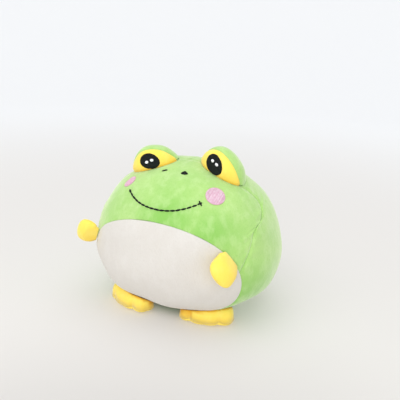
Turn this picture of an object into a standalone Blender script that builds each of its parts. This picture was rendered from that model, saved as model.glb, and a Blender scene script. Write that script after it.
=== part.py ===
# A sitting plush frog, palm sized: a sewn ball body with eye bumps, arms and feet, faces -Y.
# Each cover is a shell of short-pile fleece over its own filling of fibre.
# Points are worked out about the body's centre; the last step stands the toy on z = 0.

import math

import bmesh
import bpy
import numpy as np
from mathutils import Matrix

# Fabric, thread and the gaps between touching pieces
FIT_GAP = 0.0003
BODY_FLEECE = 0.0016
LIMB_FLEECE = 0.0012
STITCH_HEIGHT = 0.0004
MERGE_DISTANCE = 0.000001
SIDES = {"left": 1, "right": -1}  # the frog's own left is at +X

# Body: a ball, fuller than an ellipsoid, wider below and leaning a little forward
BODY_HALF_WIDTH = 0.0550
BODY_HALF_DEPTH = 0.0499
BODY_UPPER_HEIGHT = 0.0456
BODY_LOWER_HEIGHT = 0.0446
BODY_LEAN = 0.0019
BODY_FULLNESS = 2.247
TAPER_SHARE = 0.132
SHOULDER_SHARE = 0.011
BASE_CUT = 0.0005
BASE_SETTLE = 0.0004
SEAM_DIP = 0.0006
SEAM_STATIONS = 23
CORNER_SHARE = 0.2
SEAM_BAND = 0.0026
SEAM_STEPS = 100
PANEL_COLUMNS = 12
WIDEST_BAND_SHARE = 0.3

# Seams on the body, in degrees round from the front and up from its middle
BELLY_CENTRE_ELEVATION = -17.7
BELLY_HALF_ANGLES = (57.4, 39.7)
SEAM_MEETING_ELEVATION = -6.0
SIDE_SEAM_ANGLES = ((63, 7), (68, 16), (80, 22), (87, 30), (82, 40), (75, 47), (70, 62), (47, 79), (0, 82.5))

# Eyes: the end of an ellipsoid, sewn down on the head and leaning forward
EYE_AZIMUTH = {"left": 68.4, "right": 56.4}
EYE_ELEVATION = {"left": 62.9, "right": 62.2}
EYE_TURN = {"left": 18.2, "right": 12.2}
EYE_LEAN = {"left": 20.4, "right": 19.7}
EYE_RIM_ANGLE = 81.7
EYE_HALF_WIDTH = 0.0157
EYE_HALF_DEPTH = 0.0118
EYE_HALF_HEIGHT = 0.0202
EYE_SET_BACK = {"left": 0.0053, "right": 0.0024}
EYE_SUNK = {"left": 0.0063, "right": 0.0084}
PUPIL_HALF_SIZES = {"left": (0.0065, 0.0047), "right": (0.0060, 0.0045)}
PUPIL_PLACE = {"left": (0.0005, 0.0138), "right": (-0.0011, 0.0146)}
PUPIL_TURN = {"left": -28.5, "right": 20.9}
HIGHLIGHT_HALF_SIZES = (0.0012, 0.0009)
HIGHLIGHT_PLACES = {"left": {"inner": (-0.0012, 0.0009), "outer": (0.0020, 0.0005)},
                    "right": {"inner": (-0.0017, -0.0002), "outer": (0.0013, -0.0008)}}

# Face, sewn on the front panel: places in degrees, sizes in metres
CHEEK_ANGLES = (44.0, 41.5)
CHEEK_HALF_SIZES = {"left": (0.0053, 0.0053), "right": (0.0050, 0.0044)}
NOSTRIL_ANGLES = (15.0, 60.0)
NOSTRIL_HALF_SIZES = {"left": (0.0019, 0.0013), "right": (0.0017, 0.0006)}
NOSTRIL_TURN = {"left": 0.0, "right": 38.0}
MOUTH_HALF_AZIMUTH = 32.5
MOUTH_CORNER_ELEVATION = 36.0
MOUTH_LOW_ELEVATION = 30.0
MOUTH_WIDTH = 0.0011
MOUTH_DASHES = 13
MOUTH_PINCH_SHARE = 0.28
MOUTH_CORNER_SHARE = 0.9
MOUTH_TICK_LENGTH = 0.0032

# Arms: short nubs caught in the belly seam by one edge
ARM_ELEVATION = {"left": 3.4, "right": -0.2}
ARM_LENGTH = {"left": 0.0155, "right": 0.0121}  # the right one is caught deeper in the seam
ARM_HALF_WIDTH = 0.0082
ARM_ROOT_HALF_WIDTH = 0.0074
ARM_HALF_THICKNESS = 0.0040
ARM_ROOT_RADIUS = 0.0006
ARM_FLOP = {"left": 62.0, "right": -23.0}  # degrees forward of straight out
ARM_TILT = {"left": -4.0, "right": 4.0}  # degrees its outer end is turned down
ARM_SWELL_SHARE = 0.55
ARM_TIP_SHARE = 0.45
ARM_SQUARENESS = 4.0
ARM_BLUNTNESS = 2.3
ARM_PLUMPNESS = 1.25

# Feet: flat pads of three toes, sewn on under the belly by their rear edge
FOOT_HALF_WIDTH = 0.0160
FOOT_LENGTH = 0.0175
FOOT_THICKNESS = 0.0108
FOOT_SEAM_HEIGHT = 0.0044
TOE_DEPTH = 0.0016
TOES = 3
SEAM_ROOM_SHARE = 0.45
SOLE_FLAT_SHARE = 0.4
FOOT_SQUARENESS = 0.8
TOE_ROUNDNESS = 1.5
FOOT_COLUMNS = 36
FOOT_SHARES = (0, 0.4, 0.7, 0.9, 1)
FILLING_REACH_SHARE = 0.86
FILLING_SHARES = (0, 0.47, 0.81, 1)
FOOT_PLACE_SHARES = {"left": (0.389, -0.285), "right": (0.385, -0.369)}
FOOT_YAW = {"left": 14.0, "right": 20.0}

BASE_Z = BASE_CUT - BODY_LOWER_HEIGHT
SEARCH_REACH = 2 * BODY_HALF_WIDTH


def fabric(name, rgb, roughness):
    """A Principled material from an 8-bit screen colour."""
    material = bpy.data.materials.new(name)
    material.use_nodes = True
    shader = material.node_tree.nodes["Principled BSDF"]
    shader.inputs["Base Color"].default_value = (*[(level / 255) ** 2.2 for level in rgb], 1)
    shader.inputs["Roughness"].default_value = roughness
    shader.inputs["Metallic"].default_value = 0
    return material


def unit(vectors):
    return vectors / np.linalg.norm(vectors, axis=-1, keepdims=True)


def heading(azimuth, elevation):
    """Unit vectors from degrees round from the front towards +X, and degrees up."""
    a, e = np.radians(azimuth), np.radians(elevation)
    return np.stack([np.sin(a) * np.cos(e), -np.cos(a) * np.cos(e), np.sin(e) + 0 * a], -1)


# Body surface

def body_level(points, inset):
    """Below 0 inside the ball drawn in by inset, above 0 outside."""
    x, y, z = np.moveaxis(points, -1, 0)
    height = np.where(z > 0, BODY_UPPER_HEIGHT, BODY_LOWER_HEIGHT) - inset
    rise = z / height
    swell = 1 - TAPER_SHARE * rise - SHOULDER_SHARE * (rise * rise - 1 / 3)
    across = np.abs(x / ((BODY_HALF_WIDTH - inset) * swell))
    along = np.abs((y + BODY_LEAN * rise) / ((BODY_HALF_DEPTH - inset) * swell))
    return across**BODY_FULLNESS + along**BODY_FULLNESS + np.abs(rise) ** BODY_FULLNESS - 1


def crossing(start, direction, level, inset, near, far):
    """Where level changes sign on the way from start, between near and far along direction."""
    low = np.full(start.shape[:-1], float(near))
    high = np.full(start.shape[:-1], float(far))
    starts_inside = level(start + low[..., None] * direction, inset) < 0
    for _ in range(45):
        middle = (low + high) / 2
        inside = level(start + middle[..., None] * direction, inset) < 0
        low = np.where(inside == starts_inside, middle, low)
        high = np.where(inside == starts_inside, high, middle)
    return start + low[..., None] * direction


def body_surface(directions, inset=0.0):
    """Points of the ball in these directions, with its underside cut flat."""
    points = crossing(np.zeros_like(directions), directions, body_level, inset, 0, SEARCH_REACH)
    height = points[..., 2]
    points[..., 2] = np.where(height < BASE_Z + inset + BASE_SETTLE, BASE_Z + inset, height)
    return points


def body_normal(point):
    step = FIT_GAP * np.eye(3)
    return unit(np.array([body_level(point + s, 0) - body_level(point - s, 0) for s in step]))


def settle(points, direction, inset):
    """Moves points along direction until they lie on the ball's surface drawn in by inset."""
    return crossing(points, direction, body_level, inset, -BODY_HALF_DEPTH / 2, BODY_HALF_DEPTH / 2)


# Meshes

def add_sheet(mesh, grid, wrap=False):
    """Faces over a grid of points; with wrap, the columns go round. Returns the rows of corners."""
    sheet = [[mesh.verts.new(p) for p in row] for row in grid]
    count = grid.shape[1]
    for upper, lower in zip(sheet, sheet[1:]):
        for j in range(count if wrap else count - 1):
            k = (j + 1) % count
            mesh.faces.new((upper[j], lower[j], lower[k], upper[k]))
    return sheet


def finish(mesh, name, material, parent):
    """Welds a mesh into one closed body and names its object."""
    bmesh.ops.remove_doubles(mesh, verts=mesh.verts, dist=MERGE_DISTANCE)
    bmesh.ops.dissolve_degenerate(mesh, edges=mesh.edges, dist=MERGE_DISTANCE)
    bmesh.ops.recalc_face_normals(mesh, faces=mesh.faces)
    data = bpy.data.meshes.new(name)
    mesh.to_mesh(data)
    mesh.free()
    data.materials.append(material)
    data.shade_smooth()
    data.set_sharp_from_angle(angle=math.radians(40))
    obj = bpy.data.objects.new(name, data)
    bpy.context.scene.collection.objects.link(obj)
    obj.parent = parent


def two_sided(name, outer, inner, material, parent, wrap=False):
    """One closed body between two like grids of points, joined along their borders.
    With wrap, the columns go round and the first row is a single point."""
    mesh = bmesh.new()
    top, bottom = (add_sheet(mesh, sheet, wrap) for sheet in (outer, inner))
    borders = [(top[-1], bottom[-1])]
    if not wrap:
        borders.append((top[0], bottom[0]))
        for j in (0, -1):
            borders.append([[row[j] for row in sheet] for sheet in (top, bottom)])
    for first, second in borders:
        count = len(first)
        for j in range(count if wrap else count - 1):
            k = (j + 1) % count
            mesh.faces.new((first[j], first[k], second[k], second[j]))
    finish(mesh, name, material, parent)


def empty(name, parent, axes=None, place=(0, 0, 0)):
    """A hinge or a root: axes are its X, Y and Z as rows."""
    obj = bpy.data.objects.new(name, None)
    bpy.context.scene.collection.objects.link(obj)
    obj.parent = parent
    obj.empty_display_size = ARM_HALF_WIDTH
    matrix = np.eye(4)
    matrix[:3, :3] = np.eye(3) if axes is None else np.array(axes).T
    matrix[:3, 3] = place
    obj.matrix_local = Matrix(matrix.tolist())
    return obj


# Body panels, each between two seams that meet at both ends

def stations(directions, count):
    """So many directions, evenly spaced along the run of directions."""
    lengths = np.linalg.norm(np.diff(directions, axis=0), axis=1)
    reached = np.append(0, np.cumsum(lengths))
    wanted = np.linspace(0, reached[-1], count)
    return unit(np.stack([np.interp(wanted, reached, directions[:, k]) for k in range(3)], -1))


def smooth_curve(knots, steps=12):
    """A rounded run of directions through the knots (Catmull-Rom)."""
    padded = np.vstack([2 * knots[0] - knots[1], knots, 2 * knots[-1] - knots[-2]])
    share = np.linspace(0, 1, steps, endpoint=False)[:, None]
    run = []
    for a, b, c, d in zip(padded, padded[1:], padded[2:], padded[3:]):
        bend = 2 * a - 5 * b + 4 * c - d
        run.append((2 * b + (c - a) * share + bend * share**2 + (3 * b - a - 3 * c + d) * share**3) / 2)
    return unit(np.vstack([*run, knots[-1]]))


def belly_seam(turn):
    """Directions on the oval seam: turn 0 is the frog's left end, a quarter turn is its top."""
    wide, high = BELLY_HALF_ANGLES
    return heading(wide * np.cos(turn), BELLY_CENTRE_ELEVATION + high * np.sin(turn))


def belly_azimuth(elevation):
    """Degrees round to the oval seam at this elevation, and its turn."""
    wide, high = BELLY_HALF_ANGLES
    turn = math.asin((elevation - BELLY_CENTRE_ELEVATION) / high)
    return wide * math.cos(turn), turn


def seams():
    """The seams above the belly, below it and over the head, from the frog's left to its right."""
    azimuth, turn = belly_azimuth(SEAM_MEETING_ELEVATION)
    upper = belly_seam(np.linspace(turn, math.pi - turn, SEAM_STEPS))
    lower = belly_seam(np.linspace(turn, -math.pi - turn, SEAM_STEPS))
    half = heading(*np.array([(azimuth, SEAM_MEETING_ELEVATION), *SIDE_SEAM_ANGLES], float).T)
    side = smooth_curve(np.vstack([half, half[-2::-1] * np.array([-1, 1, 1])]))
    return [stations(seam, SEAM_STATIONS) for seam in (upper, lower, side)]


def slerp(a, b, share):
    angle = np.arccos(np.clip(np.sum(a * b, -1), -1, 1))[..., None]
    return (np.sin((1 - share) * angle) * a + np.sin(share * angle) * b) / np.sin(angle)


def between(first, second, margin, corner):
    """A grid of directions between two seams that meet at both ends. Its edges stop margin short
    of them, and its two tips a share of a station short."""
    band = SEAM_BAND / BODY_HALF_DEPTH
    ends = [seam.copy() for seam in (first, second)]
    for seam in ends:
        seam[0] = seam[0] + corner * (seam[1] - seam[0])
        seam[-1] = seam[-1] + corner * (seam[-2] - seam[-1])
    grid = []
    for a, b in zip(*map(unit, ends)):
        angle = math.acos(min(np.dot(a, b), 1))
        if angle < MERGE_DISTANCE / BODY_HALF_DEPTH:
            grid.append(np.tile(a, (PANEL_COLUMNS, 1)))
            continue
        edge, inner = margin / BODY_HALF_DEPTH / angle, min(band / angle, WIDEST_BAND_SHARE)
        across = np.concatenate([[edge], np.linspace(inner, 1 - inner, PANEL_COLUMNS - 2), [1 - edge]])
        grid.append(slerp(a, b, across[:, None]))
    return np.array(grid)


def body_panel(name, directions, material, parent):
    """A fleece shell whose edges turn in at its seams."""
    outer = body_surface(directions)
    dipped = body_surface(directions, SEAM_DIP)
    for border in (np.s_[0, :], np.s_[-1, :], np.s_[:, 0], np.s_[:, -1]):
        outer[border] = dipped[border]
    two_sided(name, outer, body_surface(directions, BODY_FLEECE), material, parent)


def make_body(materials, parent):
    """Four panels, and the filling, whose surface runs under them from seam to seam."""
    upper, lower, side = seams()
    half = SEAM_STATIONS // 2
    start, end = (math.degrees(math.atan2(place[2], -place[1])) for place in (side[half], lower[half]))
    sweep = np.linspace(start, 360 + end, SEAM_STEPS)
    meridian = stations(heading(0 * sweep, sweep), SEAM_STATIONS)
    edge = np.vstack([side[half:0:-1], lower[: half + 1]])
    mirror = np.array([-1, 1, 1])
    panels = {"face_panel": (upper, side, "green"), "belly_panel": (upper, lower, "white"),
              "back_panel_left": (edge, meridian, "green"),
              "back_panel_right": (edge * mirror, meridian * mirror, "green")}
    mesh = bmesh.new()
    for name, (first, second, colour) in panels.items():
        body_panel(name, between(first, second, FIT_GAP / 2, CORNER_SHARE), materials[colour], parent)
        add_sheet(mesh, body_surface(between(first, second, 0, 0), BODY_FLEECE + FIT_GAP))
    finish(mesh, "body_filling", materials["fibre"], parent)


# Embroidery on the body

def body_patch(name, angles, half_sizes, turn, columns, material, parent):
    """A thin raised oval sewn flat on the face panel, turned up at its +X end."""
    centre = body_surface(heading(*angles))
    normal = body_normal(centre)
    level_way = unit(np.cross(np.array([0, 0, 1.0]), normal))
    up_way = np.cross(normal, level_way)
    ring = np.linspace(0, 2 * math.pi, columns, endpoint=False)
    share = np.linspace(0, 1, 3)[:, None]
    wide, high = half_sizes[0] * share * np.cos(ring), half_sizes[1] * share * np.sin(ring)
    across = wide * math.cos(turn) - high * math.sin(turn)
    upward = wide * math.sin(turn) + high * math.cos(turn)
    flat = centre + across[..., None] * level_way + upward[..., None] * up_way
    sheets = [settle(flat, normal, -raised) for raised in (FIT_GAP + STITCH_HEIGHT, FIT_GAP)]
    two_sided(name, *sheets, material, parent, wrap=True)


def stitched_line(name, middle, widths, material, parent):
    """A thin raised line of stitches along points of the body's surface."""
    along = unit(np.gradient(middle, axis=0))
    normals = np.array([body_normal(p) for p in middle])
    sideways = unit(np.cross(along, normals))
    edges = np.stack([middle + sideways * widths[:, None] / 2, middle - sideways * widths[:, None] / 2], 1)
    direction = np.repeat(normals[:, None], 2, 1)
    sheets = [settle(edges, direction, -raised) for raised in (FIT_GAP + STITCH_HEIGHT, FIT_GAP)]
    two_sided(name, *sheets, material, parent)


def mouth_angles(share):
    """The smile's azimuth and elevation: share runs from -1 at the frog's right to 1."""
    dip = MOUTH_CORNER_ELEVATION - MOUTH_LOW_ELEVATION
    return MOUTH_HALF_AZIMUTH * share, MOUTH_LOW_ELEVATION + dip * share**2


def make_face(materials, parent):
    for side, sign in SIDES.items():
        cheek, nostril = ((sign * azimuth, up) for azimuth, up in (CHEEK_ANGLES, NOSTRIL_ANGLES))
        body_patch(f"cheek_{side}", cheek, CHEEK_HALF_SIZES[side], 0, 20, materials["pink"], parent)
        body_patch(f"nostril_{side}", nostril, NOSTRIL_HALF_SIZES[side], math.radians(NOSTRIL_TURN[side]),
                   12, materials["thread"], parent)
        azimuth, elevation = mouth_angles(sign)
        end = body_surface(heading(azimuth, elevation))
        across = unit(end - body_surface(heading(*mouth_angles(MOUTH_CORNER_SHARE * sign))))
        corner = end + across * (MOUTH_WIDTH / 2 + 2 * FIT_GAP)
        upright = np.cross(across, body_normal(corner))
        reach = np.linspace(-MOUTH_TICK_LENGTH / 2, MOUTH_TICK_LENGTH / 2, 4)
        tick = settle(corner + reach[:, None] * upright, body_normal(corner), 0)
        stitched_line(f"mouth_corner_{side}", tick, np.full(4, MOUTH_WIDTH), materials["thread"], parent)
    share = np.linspace(-1, 1, 4 * MOUTH_DASHES + 1)
    dash = 1 - MOUTH_PINCH_SHARE * (1 + np.cos(math.pi * np.arange(share.size) / 2))
    line = body_surface(heading(*mouth_angles(share)))
    stitched_line("mouth_line", line, MOUTH_WIDTH * dash, materials["thread"], parent)


# Eyes

def eye_frame(side, sign):
    """The middle of an eye's ellipsoid, and its outward, forward and upward axes."""
    centre = body_surface(heading(sign * EYE_AZIMUTH[side], EYE_ELEVATION[side]))
    normal = body_normal(centre)
    outward = unit(np.array([sign, 0, 0]) - sign * normal[0] * normal)
    forward = unit(np.array([0, -1.0, 0]) + normal[1] * normal)
    forward = unit(forward - np.dot(forward, outward) * outward)
    turn = math.radians(EYE_TURN[side])
    outward, forward = (math.cos(turn) * outward + math.sin(turn) * forward,
                        math.cos(turn) * forward - math.sin(turn) * outward)
    lean = math.radians(EYE_LEAN[side])
    front = math.cos(lean) * forward - math.sin(lean) * normal
    crown = math.cos(lean) * normal + math.sin(lean) * forward
    return centre - EYE_SET_BACK[side] * forward - EYE_SUNK[side] * normal, outward, front, crown, normal


def eye_point(frame, sweep, climb, inset):
    """A point of the ellipsoid: sweep goes from end to end, climb from the front over its crown."""
    centre, outward, front, crown, _ = frame
    half_width, half_depth, half_height = np.array([EYE_HALF_WIDTH, EYE_HALF_DEPTH, EYE_HALF_HEIGHT]) - inset
    ring = half_depth * np.cos(climb)[..., None] * front + half_height * np.sin(climb)[..., None] * crown
    return centre + half_width * np.sin(sweep)[..., None] * outward + np.cos(sweep)[..., None] * ring


def climb_to_body(frame, sweep, start, end, inset):
    """The climb angle, from start down to end, where the ellipsoid comes down to the head's cover."""
    low = np.full(sweep.shape, float(start))
    high = np.full(sweep.shape, float(end))
    for _ in range(40):
        middle = (low + high) / 2
        outside = body_level(eye_point(frame, sweep, middle, inset), -FIT_GAP) > 0
        low = np.where(outside, middle, low)
        high = np.where(outside, high, middle)
    return low


def eye_reach(frame, climb, inset):
    """How far the sweep runs each way before the ellipsoid's line at this climb goes into the head."""
    sweep = np.linspace(-math.pi / 2, math.pi / 2, 721)
    line = eye_point(frame, sweep, np.full(sweep.shape, climb), inset)
    clear = sweep[body_level(line, -2 * FIT_GAP) > 0]
    return clear[0], clear[-1]


def eye_half(frame, inset, toward, rows=13, columns=6):
    """A grid over the front (toward 1) or the back (toward -1) of the eye, from rim to head."""
    rim = math.radians(EYE_RIM_ANGLE)
    first, last = eye_reach(frame, rim, inset)
    sweep = first + (last - first) * (1 - np.cos(np.linspace(0, math.pi, rows))) / 2
    foot = climb_to_body(frame, sweep, rim, -0.5 if toward > 0 else math.pi + 0.5, inset)
    share = np.linspace(0, 1, columns)[None, :]
    margin = toward * FIT_GAP / 2 / (EYE_HALF_DEPTH * np.cos(sweep))
    climb = (rim - margin)[:, None] * (1 - share) + foot[:, None] * share
    return eye_point(frame, sweep[:, None] + 0 * share, climb, inset)


def eye_patch(name, frame, place, turn, half_sizes, stack, columns, material, parent):
    """A raised oval on the eye's front, its place measured outward and up over the ellipsoid from
    the middle of its front, its top turned inward; stack is how many layers of stitches lie beneath it."""
    radius = (EYE_HALF_DEPTH + EYE_HALF_HEIGHT) / 2
    ring = np.linspace(0, 2 * math.pi, columns, endpoint=False)
    share = np.linspace(0, 1, 3)[:, None]
    wide, high = half_sizes[0] * share * np.cos(ring), half_sizes[1] * share * np.sin(ring)
    sweep = (place[0] + wide * math.cos(turn) - high * math.sin(turn)) / EYE_HALF_WIDTH
    climb = (place[1] + wide * math.sin(turn) + high * math.cos(turn)) / radius
    under = FIT_GAP + stack * (STITCH_HEIGHT + FIT_GAP)
    sheets = [eye_point(frame, sweep, climb, -raised) for raised in (under + STITCH_HEIGHT, under)]
    two_sided(name, *sheets, material, parent, wrap=True)


def make_eye(side, sign, materials, parent):
    frame = eye_frame(side, sign)
    for place, toward, colour in (("front", 1, "yellow"), ("back", -1, "green")):
        sheets = [eye_half(frame, inset, toward) for inset in (0, LIMB_FLEECE)]
        two_sided(f"eye_{side}_{place}_cover", *sheets, materials[colour], parent)
    inset = LIMB_FLEECE + FIT_GAP
    front, back = (eye_half(frame, inset, toward) for toward in (1, -1))
    dome = np.concatenate([front[:, ::-1], back[:, 1:]], 1)
    share = np.linspace(0, 1, dome.shape[1])[None, :, None]
    floor = settle(dome[:, :1] * (1 - share) + dome[:, -1:] * share, frame[4], -FIT_GAP)
    two_sided(f"eye_{side}_filling", dome, floor, materials["fibre"], parent)
    place, turn = np.array(PUPIL_PLACE[side]), math.radians(PUPIL_TURN[side])
    eye_patch(f"eye_{side}_pupil", frame, place, turn, PUPIL_HALF_SIZES[side], 0, 20,
              materials["thread"], parent)
    for name, offset in HIGHLIGHT_PLACES[side].items():
        eye_patch(f"eye_{side}_highlight_{name}", frame, place + offset, 0, HIGHLIGHT_HALF_SIZES, 1, 10,
                  materials["highlight"], parent)


# Arms

def arm_axes(side, sign):
    """The hinge of an arm: its place, and its axes along the seam, out along the arm, and across."""
    above, root, below = (body_surface(heading(sign * belly_azimuth(elevation)[0], elevation))
                          for elevation in ARM_ELEVATION[side] + np.array([5, 0, -5]))
    along = unit(below - above) * sign
    normal = body_normal(root)
    along = unit(along - np.dot(along, normal) * normal)
    tilt = math.radians(ARM_TILT[side])
    along = math.cos(tilt) * along - math.sin(tilt) * np.cross(along, normal)
    forward = np.cross(along, normal)
    flop = math.radians(ARM_FLOP[side])
    outward = math.cos(flop) * normal + math.sin(flop) * forward
    place = root + normal * (ARM_ROOT_RADIUS + FIT_GAP)
    return place, (along, outward, np.cross(along, outward))


def arm_sizes(out):
    """Half width and half thickness of an arm at a share of its length."""
    swell = np.sin(np.clip(out / ARM_SWELL_SHARE, 0, 1) * math.pi / 2)
    tip = np.clip((out - ARM_TIP_SHARE) / (1 - ARM_TIP_SHARE), 0, 1)
    width = ARM_ROOT_HALF_WIDTH + (ARM_HALF_WIDTH - ARM_ROOT_HALF_WIDTH) * swell
    thickness = ARM_ROOT_RADIUS + (ARM_HALF_THICKNESS - ARM_ROOT_RADIUS) * swell**ARM_PLUMPNESS
    return width * np.sqrt(1 - tip**ARM_SQUARENESS), thickness * np.sqrt(1 - tip**ARM_BLUNTNESS)


def arm_half(length, inset, toward, rows=10, columns=9):
    """A grid over the front (toward 1) or back of the arm, drawn in by inset, beside the arm's edge seam."""
    share = np.sin(np.linspace(0, math.pi / 2, rows))
    reach = -ARM_ROOT_RADIUS / 2 + (length - inset + ARM_ROOT_RADIUS / 2) * share
    width, thickness = arm_sizes(reach / (length - inset))
    turn = np.linspace(0, math.pi, columns)[None, :]
    margin = FIT_GAP / 2
    x = (width[:, None] - inset) * np.cos(turn)
    x = np.where(width[:, None] > inset, x, 0)
    z = np.maximum((thickness[:, None] - inset) * np.sin(turn), margin)
    z = np.where(share[:, None] == 1, margin, z)
    return np.stack([x, reach[:, None] + 0 * x, toward * z], -1)


def make_arm(side, sign, materials, parent):
    place, axes = arm_axes(side, sign)
    hinge = empty(f"arm_{side}_hinge", parent, axes, place)
    for part, toward in (("front", 1), ("back", -1)):
        sheets = [arm_half(ARM_LENGTH[side], inset, toward) for inset in (0, LIMB_FLEECE)]
        two_sided(f"arm_{side}_{part}_cover", *sheets, materials["yellow"], hinge)
    inset = LIMB_FLEECE + FIT_GAP
    out = np.linspace(0, 1, 400)
    roomy = out[arm_sizes(out)[1] > inset]
    out = roomy[0] + (roomy[-1] - roomy[0]) * (1 - np.cos(np.linspace(0, math.pi, 9))) / 2
    width, thickness = arm_sizes(out)
    thickness[[0, -1]] = inset
    turn = np.linspace(0, math.pi, 9)[None, :]
    x = (width - inset)[:, None] * np.cos(turn)
    z = (thickness - inset)[:, None] * np.sin(turn)
    y = (ARM_LENGTH[side] - inset) * out[:, None] + 0 * x
    sheets = [np.stack([x, y, sheet * z], -1) for sheet in (1, -1)]
    two_sided(f"arm_{side}_filling", *sheets, materials["fibre"], hinge)


# Feet

def belly_underside(x, y, inset):
    """How high above the floor the ball's underside is over a place."""
    low = np.full(x.shape, BASE_Z)
    start = np.stack([x, y, low], -1)
    return crossing(start, np.array([0, 0, 1.0]), body_level, inset, 0, BODY_LOWER_HEIGHT)[..., 2] - BASE_Z


def foot_outline(turn):
    """The foot's edge about its middle: a full oval with toes round its front."""
    x = FOOT_HALF_WIDTH * np.sign(np.cos(turn)) * np.abs(np.cos(turn)) ** FOOT_SQUARENESS
    y = FOOT_LENGTH / 2 * np.sign(np.sin(turn)) * np.abs(np.sin(turn)) ** FOOT_SQUARENESS
    notch = np.clip(2 * np.sin(turn), 0, 1) * (1 - np.abs(np.sin(TOES * turn))) ** TOE_ROUNDNESS
    kept = 1 - notch * TOE_DEPTH / (FOOT_LENGTH / 2)
    return x * kept, y * kept


def foot_points(axes, place, share, inset):
    """Places in the foot's outline drawn in by inset, and the room under the belly above each.
    Each column of share is one direction round the foot's middle."""
    x, y = foot_outline(np.linspace(0, 2 * math.pi, share.shape[1], endpoint=False))
    kept = share * (1 - inset / np.hypot(x, y))
    x, y = kept * x, kept * y + FOOT_LENGTH / 2
    world = place + x[..., None] * axes[0] + y[..., None] * axes[1]
    return x, y, belly_underside(world[..., 0], world[..., 1], -FIT_GAP)


def foot_heights(share, room, toward):
    """Heights above the floor of the foot's edge seam, and of its upper or lower surface."""
    seam = np.minimum(FOOT_SEAM_HEIGHT, SEAM_ROOM_SHARE * room) + toward * FIT_GAP / 2
    if toward > 0:
        return seam, np.minimum(seam + (FOOT_THICKNESS - FOOT_SEAM_HEIGHT) * np.sqrt(1 - share**3), room)
    return seam, seam * np.clip((share - SOLE_FLAT_SHARE) / (1 - SOLE_FLAT_SHARE), 0, 1) ** 2


def foot_filling(axes, place, inset):
    """The upper and lower surfaces of a foot's filling, which ends where the foot gets thin."""
    share = np.tile(np.linspace(0, FILLING_REACH_SHARE, 40)[:, None], FOOT_COLUMNS)
    room = foot_points(axes, place, share, inset)[2]
    top, bottom = (foot_heights(share, room, toward)[1] for toward in (1, -1))
    thick = np.cumprod(top - bottom > 2 * inset + FIT_GAP, axis=0)
    share = np.outer(FILLING_SHARES, np.max(share * thick, axis=0))
    x, y, room = foot_points(axes, place, share, inset)
    top, bottom = (foot_heights(share, room, toward)[1] - toward * inset for toward in (1, -1))
    top[-1] = bottom[-1] = (top[-1] + bottom[-1]) / 2
    return [np.stack([x, y, height], -1) for height in (top, bottom)]


def make_foot(side, sign, materials, parent):
    yaw = math.radians(FOOT_YAW[side])
    forward = np.array([sign * math.sin(yaw), -math.cos(yaw), 0])
    axes = (np.cross(forward, [0, 0, 1]), forward, np.array([0, 0, 1]))
    shares = FOOT_PLACE_SHARES[side]
    place = np.array([sign * shares[0] * BODY_HALF_WIDTH, shares[1] * BODY_HALF_DEPTH, BASE_Z])
    rise = np.array([0, 0, belly_underside(place[0], place[1], -FIT_GAP)])
    hinge = empty(f"foot_{side}_hinge", parent, axes, place + rise)
    rings = np.tile(np.array(FOOT_SHARES)[:, None], FOOT_COLUMNS)
    for part, toward in (("top_cover", 1), ("sole", -1)):
        sheets = []
        for inset in (0, LIMB_FLEECE):
            x, y, room = foot_points(axes, place, rings, inset)
            seam, height = foot_heights(rings, room, toward)
            drawn_in = toward * np.maximum(toward * height - inset, toward * seam) if inset else height
            sheets.append(np.stack([x, y, drawn_in], -1) - rise)
        two_sided(f"foot_{side}_{part}", *sheets, materials["yellow"], hinge, wrap=True)
    sheets = [sheet - rise for sheet in foot_filling(axes, place, LIMB_FLEECE + FIT_GAP)]
    two_sided(f"foot_{side}_filling", *sheets, materials["fibre"], hinge, wrap=True)


def stand_on_floor(frog):
    """Moves the toy so that the middle of its outline is over the origin, standing on z = 0."""
    bpy.context.view_layer.update()
    corners = [obj.matrix_world @ vertex.co for obj in bpy.data.objects if obj.type == "MESH"
               for vertex in obj.data.vertices]
    low, high = np.min(corners, axis=0), np.max(corners, axis=0)
    frog.location = (-(low[0] + high[0]) / 2, -(low[1] + high[1]) / 2, -low[2])


def main():
    for obj in list(bpy.data.objects):
        bpy.data.objects.remove(obj)
    materials = {
        "green": fabric("green_fleece", (184, 232, 138), 0.9),
        "white": fabric("white_fleece", (240, 238, 234), 0.9),
        "highlight": fabric("white_thread", (250, 250, 250), 0.6),
        "yellow": fabric("yellow_fleece", (252, 236, 98), 0.9),
        "thread": fabric("black_thread", (24, 26, 26), 0.6),
        "pink": fabric("pink_thread", (236, 196, 216), 0.6),
        "fibre": fabric("filling_fibre", (236, 236, 232), 0.95),
    }
    frog = empty("frog", None)
    make_body(materials, frog)
    make_face(materials, frog)
    for side, sign in SIDES.items():
        make_eye(side, sign, materials, frog)
        make_arm(side, sign, materials, frog)
        make_foot(side, sign, materials, frog)
    stand_on_floor(frog)


main()
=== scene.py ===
import math
from functools import partial

import bmesh
import bpy
import numpy as np
from mathutils import Matrix, Vector
from mathutils.bvhtree import BVHTree


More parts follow.
